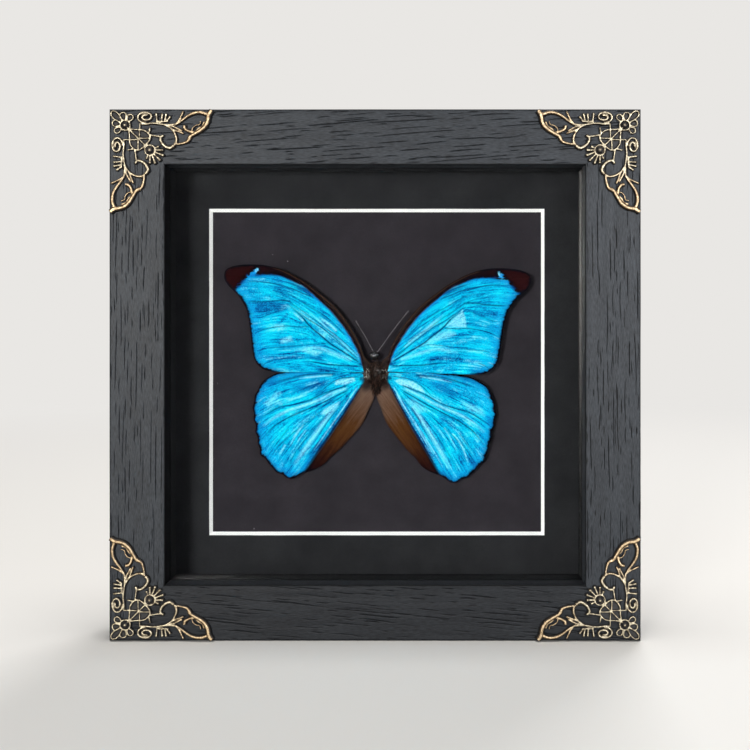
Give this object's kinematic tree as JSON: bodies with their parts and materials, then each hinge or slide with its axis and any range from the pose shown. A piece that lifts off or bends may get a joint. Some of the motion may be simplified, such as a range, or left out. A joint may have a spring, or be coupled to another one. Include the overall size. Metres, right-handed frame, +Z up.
{
  "type": "framed butterfly specimen",
  "caption": "Square wooden box frame with brass filigree corners, glass and a window mount, holding a spread blue butterfly on dark card.",
  "frame": {"origin": "middle of the frame's underside, under the middle of its box", "axes": "+Z up, -Y out of the glass towards the viewer, +X to the viewer's right"},
  "size_m": [0.25, 0.038, 0.25],
  "materials": {
    "painted_wood": "satin charcoal paint over open-pored hardwood, near-black pores",
    "clear_glass": "clear float glass, polished",
    "black_board": "matt black lining board",
    "mount_board": "black textured mount board with a white core shown at the bevel",
    "dark_card": "dark grey matt card",
    "fibreboard": "bare fibreboard, smooth face",
    "dried_butterfly": "iridescent blue scales with dark brown margins, brown hairy body",
    "aged_brass": "antiqued brass, bright on the high edges and dark in the hollows",
    "spring_steel": "plain rolled steel",
    "plated_steel": "brass-plated steel, satin"
  },
  "bodies": {
    "root": {"top_rail": "painted_wood", "bottom_rail": "painted_wood", "left_rail": "painted_wood", "right_rail": "painted_wood", "glass_pane": "clear_glass", "top_spacer": "black_board", "bottom_spacer": "black_board", "left_spacer": "black_board", "right_spacer": "black_board", "window_mount": "mount_board", "backing_card": "dark_card", "back_panel": "fibreboard", "butterfly": "dried_butterfly", "corner_top_left": "aged_brass", "corner_top_right": "aged_brass", "corner_bottom_left": "aged_brass", "corner_bottom_right": "aged_brass", "top_retaining_tab_1": "spring_steel", "top_retaining_tab_2": "spring_steel", "bottom_retaining_tab_1": "spring_steel", "bottom_retaining_tab_2": "spring_steel", "left_retaining_tab_1": "spring_steel", "left_retaining_tab_2": "spring_steel", "right_retaining_tab_1": "spring_steel", "right_retaining_tab_2": "spring_steel", "sawtooth_hanger": "plated_steel", "hanger_nail_1": "plated_steel", "hanger_nail_2": "plated_steel"}
  },
  "joints": []
}
